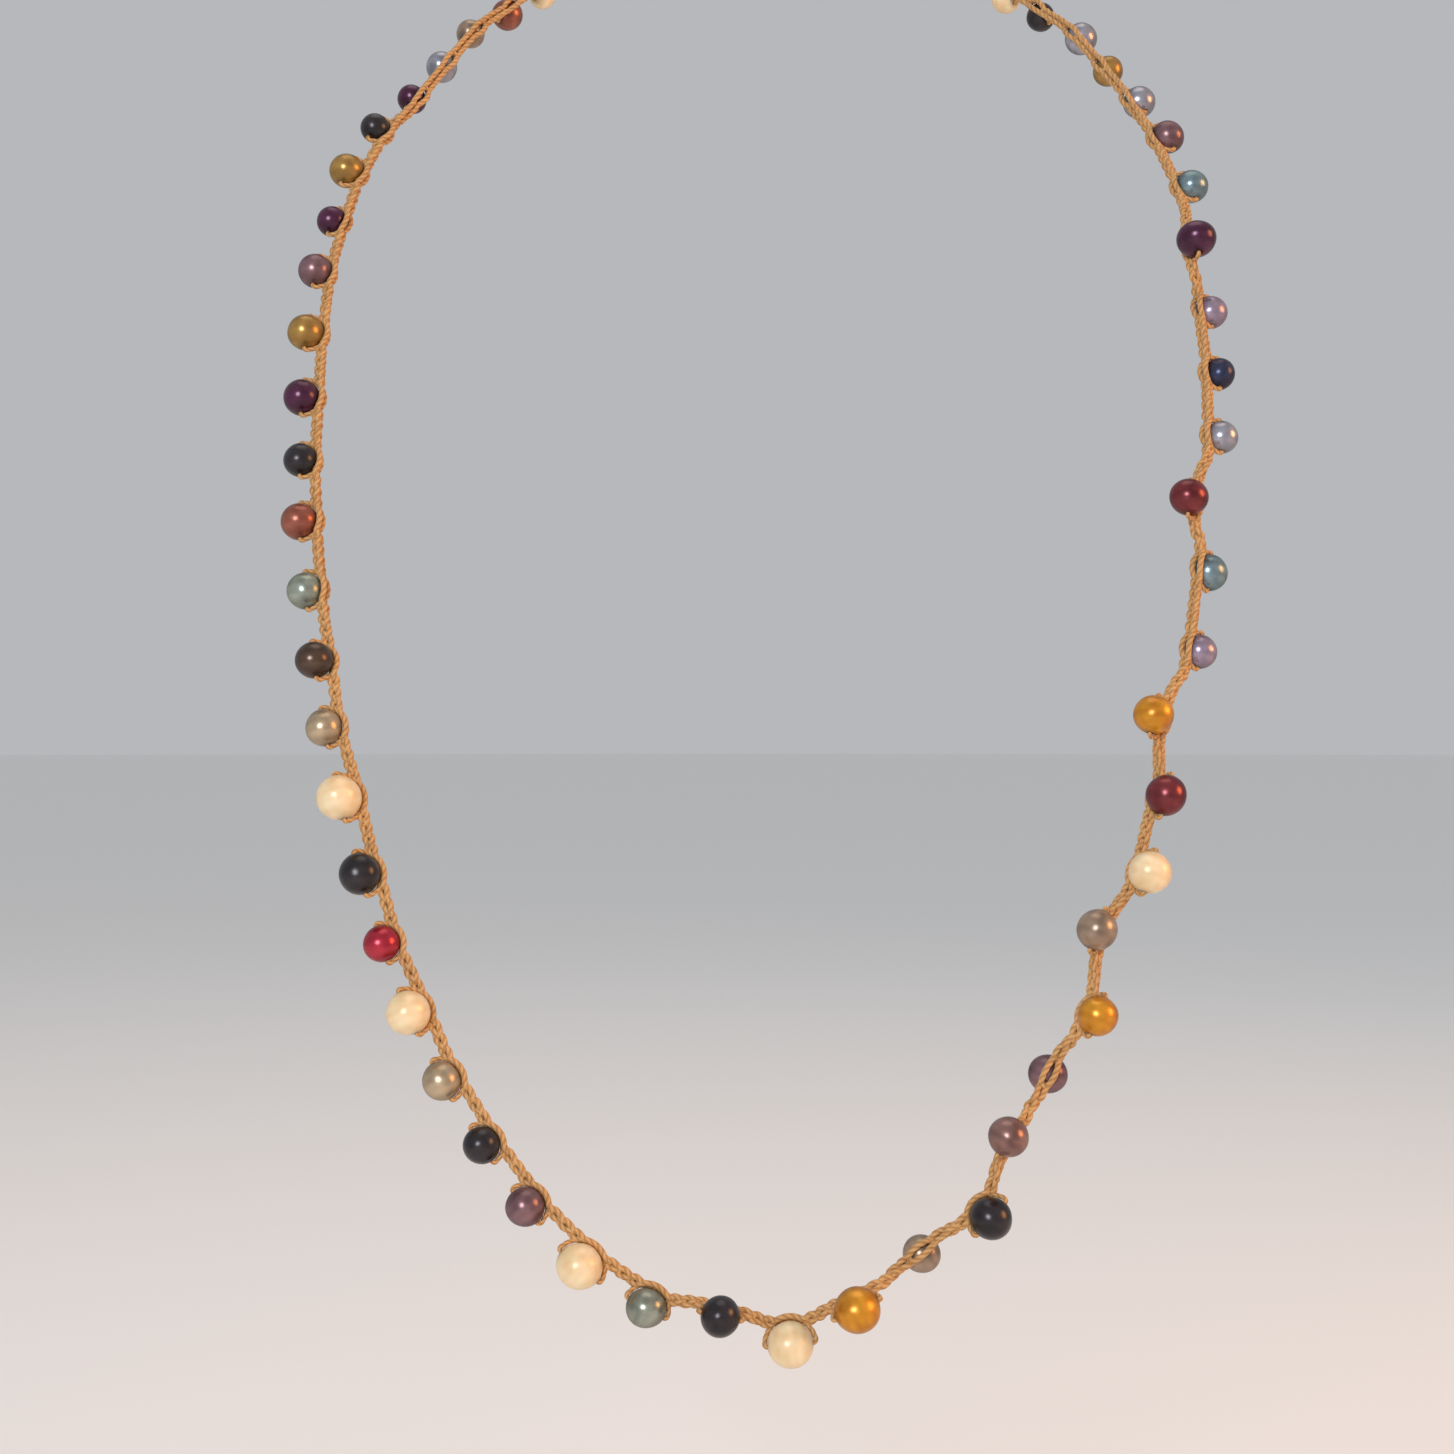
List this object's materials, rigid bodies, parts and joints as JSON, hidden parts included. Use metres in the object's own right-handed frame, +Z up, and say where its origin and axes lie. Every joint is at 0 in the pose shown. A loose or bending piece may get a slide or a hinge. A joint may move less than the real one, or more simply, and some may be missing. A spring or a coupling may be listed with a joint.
{
  "type": "pearl necklace",
  "caption": "Long crocheted-thread necklace with dyed near-round freshwater pearls set beside the chain, worn round a neck, with a loop and button-pearl closure.",
  "frame": {"origin": "middle of the neck that the necklace is worn on, level with the base of the front of the neck", "axes": "+Z up, +X to the viewer's right when looking at the chest, -Y out of the chest towards the viewer"},
  "size_m": [0.158, 0.144, 0.2595],
  "materials": {
    "thread": "twisted silk thread, crocheted, soft sheen",
    "pearl_black": "dyed nacre, satin gloss",
    "pearl_navy": "dyed nacre, satin gloss",
    "pearl_plum": "dyed nacre, satin gloss",
    "pearl_wine": "dyed nacre, satin gloss",
    "pearl_crimson": "dyed nacre, satin gloss",
    "pearl_copper": "dyed nacre, satin gloss",
    "pearl_rose": "dyed nacre, satin gloss",
    "pearl_mauve": "dyed nacre, satin gloss",
    "pearl_lavender": "dyed nacre, satin gloss",
    "pearl_taupe": "dyed nacre, satin gloss",
    "pearl_bronze": "dyed nacre, satin gloss",
    "pearl_champagne": "dyed nacre, satin gloss",
    "pearl_gold": "dyed nacre, satin gloss",
    "pearl_amber": "dyed nacre, satin gloss",
    "pearl_cream": "dyed nacre, satin gloss",
    "pearl_silver": "dyed nacre, satin gloss",
    "pearl_sage": "dyed nacre, satin gloss",
    "pearl_peacock": "dyed nacre, satin gloss",
    "pearl_teal": "dyed nacre, satin gloss"
  },
  "bodies": {
    "shoulders": {"shoulder_chains": "thread", "back_chain_right": "thread", "button_pearl": "pearl_cream"},
    "back_left": {"back_chain_left": "thread", "closure_loop": "thread"},
    "sides": {"side_chains": "thread"},
    "front": {"front_chain": "thread"},
    "pearl_01_bead": {"pearl_01": "pearl_cream"},
    "pearl_02_bead": {"pearl_02": "pearl_copper"},
    "pearl_03_bead": {"pearl_03": "pearl_taupe"},
    "pearl_04_bead": {"pearl_04": "pearl_silver"},
    "pearl_05_bead": {"pearl_05": "pearl_plum"},
    "pearl_06_bead": {"pearl_06": "pearl_black"},
    "pearl_07_bead": {"pearl_07": "pearl_gold"},
    "pearl_08_bead": {"pearl_08": "pearl_plum"},
    "pearl_09_bead": {"pearl_09": "pearl_mauve"},
    "pearl_10_bead": {"pearl_10": "pearl_gold"},
    "pearl_11_bead": {"pearl_11": "pearl_plum"},
    "pearl_12_bead": {"pearl_12": "pearl_black"},
    "pearl_13_bead": {"pearl_13": "pearl_copper"},
    "pearl_14_bead": {"pearl_14": "pearl_sage"},
    "pearl_15_bead": {"pearl_15": "pearl_bronze"},
    "pearl_16_bead": {"pearl_16": "pearl_champagne"},
    "pearl_17_bead": {"pearl_17": "pearl_cream"},
    "pearl_18_bead": {"pearl_18": "pearl_black"},
    "pearl_19_bead": {"pearl_19": "pearl_crimson"},
    "pearl_20_bead": {"pearl_20": "pearl_cream"},
    "pearl_21_bead": {"pearl_21": "pearl_champagne"},
    "pearl_22_bead": {"pearl_22": "pearl_black"},
    "pearl_23_bead": {"pearl_23": "pearl_mauve"},
    "pearl_24_bead": {"pearl_24": "pearl_cream"},
    "pearl_25_bead": {"pearl_25": "pearl_peacock"},
    "pearl_26_bead": {"pearl_26": "pearl_black"},
    "pearl_27_bead": {"pearl_27": "pearl_cream"},
    "pearl_28_bead": {"pearl_28": "pearl_amber"},
    "pearl_29_bead": {"pearl_29": "pearl_taupe"},
    "pearl_30_bead": {"pearl_30": "pearl_black"},
    "pearl_31_bead": {"pearl_31": "pearl_rose"},
    "pearl_32_bead": {"pearl_32": "pearl_mauve"},
    "pearl_33_bead": {"pearl_33": "pearl_amber"},
    "pearl_34_bead": {"pearl_34": "pearl_taupe"},
    "pearl_35_bead": {"pearl_35": "pearl_cream"},
    "pearl_36_bead": {"pearl_36": "pearl_wine"},
    "pearl_37_bead": {"pearl_37": "pearl_amber"},
    "pearl_38_bead": {"pearl_38": "pearl_lavender"},
    "pearl_39_bead": {"pearl_39": "pearl_teal"},
    "pearl_40_bead": {"pearl_40": "pearl_wine"},
    "pearl_41_bead": {"pearl_41": "pearl_silver"},
    "pearl_42_bead": {"pearl_42": "pearl_navy"},
    "pearl_43_bead": {"pearl_43": "pearl_lavender"},
    "pearl_44_bead": {"pearl_44": "pearl_plum"},
    "pearl_45_bead": {"pearl_45": "pearl_teal"},
    "pearl_46_bead": {"pearl_46": "pearl_mauve"},
    "pearl_47_bead": {"pearl_47": "pearl_silver"},
    "pearl_48_bead": {"pearl_48": "pearl_gold"},
    "pearl_49_bead": {"pearl_49": "pearl_silver"},
    "pearl_50_bead": {"pearl_50": "pearl_black"},
    "pearl_51_bead": {"pearl_51": "pearl_cream"}
  },
  "joints": [
    {"name": "closure_opening", "type": "hinge", "parent": "shoulders", "child": "back_left", "pos_m": [-0.04862, -0.00524, 0.01676], "axis": [0, 0, 1], "range_deg": [0, 70], "deforming": ["back_chain_left", "shoulder_chains"]},
    {"name": "shoulder_drape", "type": "hinge", "parent": "shoulders", "child": "sides", "pos_m": [0.00022, -0.05236, -0.05435], "axis": [-0.9992, -0.0168, -0.0363], "range_deg": [0, 60], "deforming": ["shoulder_chains", "side_chains"]},
    {"name": "front_drape", "type": "hinge", "parent": "sides", "child": "front", "pos_m": [-0.00108, -0.0775, -0.12212], "axis": [-1, 0.0004, 0.0033], "range_deg": [0, 60], "deforming": ["side_chains", "front_chain"]},
    {"name": "pearl_01_spin", "type": "hinge", "parent": "back_left", "child": "pearl_01_bead", "pos_m": [-0.04168, 0.00905, 0.02438], "axis": [-0.5641, -0.6667, -0.4872], "continuous": true},
    {"name": "pearl_02_spin", "type": "hinge", "parent": "back_left", "child": "pearl_02_bead", "pos_m": [-0.04768, 0.00166, 0.01816], "axis": [-0.4865, -0.6493, -0.5845], "continuous": true},
    {"name": "pearl_03_spin", "type": "hinge", "parent": "shoulders", "child": "pearl_03_bead", "pos_m": [-0.05382, -0.00612, 0.0122], "axis": [-0.427, -0.6268, -0.6518], "continuous": true},
    {"name": "pearl_04_spin", "type": "hinge", "parent": "shoulders", "child": "pearl_04_bead", "pos_m": [-0.05837, -0.01286, 0.0041], "axis": [-0.3686, -0.5861, -0.7215], "continuous": true},
    {"name": "pearl_05_spin", "type": "hinge", "parent": "shoulders", "child": "pearl_05_bead", "pos_m": [-0.06282, -0.01995, -0.00374], "axis": [-0.3558, -0.5615, -0.7471], "continuous": true},
    {"name": "pearl_06_spin", "type": "hinge", "parent": "shoulders", "child": "pearl_06_bead", "pos_m": [-0.06807, -0.02944, -0.01142], "axis": [-0.3769, -0.5384, -0.7537], "continuous": true},
    {"name": "pearl_07_spin", "type": "hinge", "parent": "shoulders", "child": "pearl_07_bead", "pos_m": [-0.07217, -0.03468, -0.02021], "axis": [-0.2682, -0.5084, -0.8183], "continuous": true},
    {"name": "pearl_08_spin", "type": "hinge", "parent": "shoulders", "child": "pearl_08_bead", "pos_m": [-0.07397, -0.0392, -0.03002], "axis": [-0.1713, -0.4781, -0.8614], "continuous": true},
    {"name": "pearl_09_spin", "type": "hinge", "parent": "shoulders", "child": "pearl_09_bead", "pos_m": [-0.07564, -0.04593, -0.03984], "axis": [-0.0573, -0.4493, -0.8916], "continuous": true},
    {"name": "pearl_10_spin", "type": "hinge", "parent": "shoulders", "child": "pearl_10_bead", "pos_m": [-0.07621, -0.05151, -0.05125], "axis": [-0.01, -0.4279, -0.9038], "continuous": true},
    {"name": "pearl_11_spin", "type": "hinge", "parent": "sides", "child": "pearl_11_bead", "pos_m": [-0.0761, -0.05573, -0.06267], "axis": [0.0218, -0.3955, -0.9182], "continuous": true},
    {"name": "pearl_12_spin", "type": "hinge", "parent": "sides", "child": "pearl_12_bead", "pos_m": [-0.0754, -0.06091, -0.0736], "axis": [0.0449, -0.3772, -0.925], "continuous": true},
    {"name": "pearl_13_spin", "type": "hinge", "parent": "sides", "child": "pearl_13_bead", "pos_m": [-0.07496, -0.06394, -0.0839], "axis": [0.0939, -0.3579, -0.929], "continuous": true},
    {"name": "pearl_14_spin", "type": "hinge", "parent": "sides", "child": "pearl_14_bead", "pos_m": [-0.07328, -0.06798, -0.09531], "axis": [0.1489, -0.3349, -0.9304], "continuous": true},
    {"name": "pearl_15_spin", "type": "hinge", "parent": "sides", "child": "pearl_15_bead", "pos_m": [-0.07066, -0.0751, -0.10653], "axis": [0.1918, -0.3057, -0.9326], "continuous": true},
    {"name": "pearl_16_spin", "type": "hinge", "parent": "sides", "child": "pearl_16_bead", "pos_m": [-0.06882, -0.07664, -0.11712], "axis": [0.2353, -0.2749, -0.9323], "continuous": true},
    {"name": "pearl_17_spin", "type": "hinge", "parent": "front", "child": "pearl_17_bead", "pos_m": [-0.06562, -0.08192, -0.12785], "axis": [0.2679, -0.2454, -0.9317], "continuous": true},
    {"name": "pearl_18_spin", "type": "hinge", "parent": "front", "child": "pearl_18_bead", "pos_m": [-0.06211, -0.08391, -0.13944], "axis": [0.3058, -0.2064, -0.9295], "continuous": true},
    {"name": "pearl_19_spin", "type": "hinge", "parent": "front", "child": "pearl_19_bead", "pos_m": [-0.05862, -0.08503, -0.15002], "axis": [0.3337, -0.1841, -0.9245], "continuous": true},
    {"name": "pearl_20_spin", "type": "hinge", "parent": "front", "child": "pearl_20_bead", "pos_m": [-0.05409, -0.08859, -0.16007], "axis": [0.4257, -0.142, -0.8936], "continuous": true},
    {"name": "pearl_21_spin", "type": "hinge", "parent": "front", "child": "pearl_21_bead", "pos_m": [-0.04906, -0.08817, -0.17041], "axis": [0.4924, -0.1098, -0.8634], "continuous": true},
    {"name": "pearl_22_spin", "type": "hinge", "parent": "front", "child": "pearl_22_bead", "pos_m": [-0.04291, -0.08937, -0.1799], "axis": [0.5684, -0.0863, -0.8182], "continuous": true},
    {"name": "pearl_23_spin", "type": "hinge", "parent": "front", "child": "pearl_23_bead", "pos_m": [-0.03626, -0.0904, -0.18895], "axis": [0.6204, -0.0689, -0.7812], "continuous": true},
    {"name": "pearl_24_spin", "type": "hinge", "parent": "front", "child": "pearl_24_bead", "pos_m": [-0.02806, -0.0918, -0.19753], "axis": [0.7781, -0.0434, -0.6267], "continuous": true},
    {"name": "pearl_25_spin", "type": "hinge", "parent": "front", "child": "pearl_25_bead", "pos_m": [-0.01809, -0.09176, -0.20374], "axis": [0.8767, -0.0241, -0.4804], "continuous": true},
    {"name": "pearl_26_spin", "type": "hinge", "parent": "front", "child": "pearl_26_bead", "pos_m": [-0.00698, -0.09437, -0.20437], "axis": [0.9777, -0.003, -0.21], "continuous": true},
    {"name": "pearl_27_spin", "type": "hinge", "parent": "front", "child": "pearl_27_bead", "pos_m": [0.00347, -0.09231, -0.20907], "axis": [0.9953, 0, 0.0966], "continuous": true},
    {"name": "pearl_28_spin", "type": "hinge", "parent": "front", "child": "pearl_28_bead", "pos_m": [0.01328, -0.09453, -0.20336], "axis": [0.9142, 0.0163, 0.4049], "continuous": true},
    {"name": "pearl_29_spin", "type": "hinge", "parent": "front", "child": "pearl_29_bead", "pos_m": [0.02357, -0.0855, -0.19706], "axis": [0.787, 0.0454, 0.6153], "continuous": true},
    {"name": "pearl_30_spin", "type": "hinge", "parent": "front", "child": "pearl_30_bead", "pos_m": [0.03345, -0.09167, -0.19039], "axis": [0.6615, 0.0575, 0.7478], "continuous": true},
    {"name": "pearl_31_spin", "type": "hinge", "parent": "front", "child": "pearl_31_bead", "pos_m": [0.03598, -0.09218, -0.17811], "axis": [0.5436, 0.0885, 0.8346], "continuous": true},
    {"name": "pearl_32_spin", "type": "hinge", "parent": "front", "child": "pearl_32_bead", "pos_m": [0.04317, -0.08266, -0.17014], "axis": [0.4629, 0.1152, 0.8789], "continuous": true},
    {"name": "pearl_33_spin", "type": "hinge", "parent": "front", "child": "pearl_33_bead", "pos_m": [0.04974, -0.08935, -0.16045], "axis": [0.3967, 0.152, 0.9053], "continuous": true},
    {"name": "pearl_34_spin", "type": "hinge", "parent": "front", "child": "pearl_34_bead", "pos_m": [0.04997, -0.08725, -0.14766], "axis": [0.3574, 0.1775, 0.9169], "continuous": true},
    {"name": "pearl_35_spin", "type": "hinge", "parent": "front", "child": "pearl_35_bead", "pos_m": [0.05838, -0.08525, -0.13912], "axis": [0.3236, 0.2041, 0.9239], "continuous": true},
    {"name": "pearl_36_spin", "type": "hinge", "parent": "front", "child": "pearl_36_bead", "pos_m": [0.06125, -0.08301, -0.12748], "axis": [0.2948, 0.2281, 0.9279], "continuous": true},
    {"name": "pearl_37_spin", "type": "hinge", "parent": "sides", "child": "pearl_37_bead", "pos_m": [0.06004, -0.07916, -0.11512], "axis": [0.2433, 0.271, 0.9313], "continuous": true},
    {"name": "pearl_38_spin", "type": "hinge", "parent": "sides", "child": "pearl_38_bead", "pos_m": [0.06905, -0.06999, -0.10507], "axis": [0.2098, 0.3017, 0.93], "continuous": true},
    {"name": "pearl_39_spin", "type": "hinge", "parent": "sides", "child": "pearl_39_bead", "pos_m": [0.07163, -0.06499, -0.09219], "axis": [0.176, 0.3305, 0.9273], "continuous": true},
    {"name": "pearl_40_spin", "type": "hinge", "parent": "sides", "child": "pearl_40_bead", "pos_m": [0.06779, -0.06768, -0.08027], "axis": [0.1292, 0.3587, 0.9245], "continuous": true},
    {"name": "pearl_41_spin", "type": "hinge", "parent": "sides", "child": "pearl_41_bead", "pos_m": [0.07515, -0.05744, -0.06944], "axis": [0.0765, 0.3911, 0.9172], "continuous": true},
    {"name": "pearl_42_spin", "type": "hinge", "parent": "sides", "child": "pearl_42_bead", "pos_m": [0.07579, -0.05268, -0.05833], "axis": [0.0361, 0.4197, 0.907], "continuous": true},
    {"name": "pearl_43_spin", "type": "hinge", "parent": "shoulders", "child": "pearl_43_bead", "pos_m": [0.07573, -0.0462, -0.04697], "axis": [0.0072, 0.4482, 0.8939], "continuous": true},
    {"name": "pearl_44_spin", "type": "hinge", "parent": "shoulders", "child": "pearl_44_bead", "pos_m": [0.07307, -0.04765, -0.0348], "axis": [-0.0229, 0.4849, 0.8742], "continuous": true},
    {"name": "pearl_45_spin", "type": "hinge", "parent": "shoulders", "child": "pearl_45_bead", "pos_m": [0.07483, -0.03466, -0.02292], "axis": [-0.2007, 0.4987, 0.8432], "continuous": true},
    {"name": "pearl_46_spin", "type": "hinge", "parent": "shoulders", "child": "pearl_46_bead", "pos_m": [0.07187, -0.02856, -0.01277], "axis": [-0.2581, 0.5363, 0.8036], "continuous": true},
    {"name": "pearl_47_spin", "type": "hinge", "parent": "shoulders", "child": "pearl_47_bead", "pos_m": [0.06821, -0.02061, -0.00445], "axis": [-0.2701, 0.5894, 0.7613], "continuous": true},
    {"name": "pearl_48_spin", "type": "hinge", "parent": "shoulders", "child": "pearl_48_bead", "pos_m": [0.06389, -0.01303, 0.00328], "axis": [-0.3325, 0.6159, 0.7142], "continuous": true},
    {"name": "pearl_49_spin", "type": "hinge", "parent": "shoulders", "child": "pearl_49_bead", "pos_m": [0.06004, -0.00576, 0.01138], "axis": [-0.3829, 0.6353, 0.6706], "continuous": true},
    {"name": "pearl_50_spin", "type": "hinge", "parent": "shoulders", "child": "pearl_50_bead", "pos_m": [0.05357, 0.00213, 0.01783], "axis": [-0.4708, 0.6668, 0.5776], "continuous": true},
    {"name": "pearl_51_spin", "type": "hinge", "parent": "shoulders", "child": "pearl_51_bead", "pos_m": [0.04796, 0.01, 0.02396], "axis": [-0.547, 0.6722, 0.4989], "continuous": true}
  ]
}
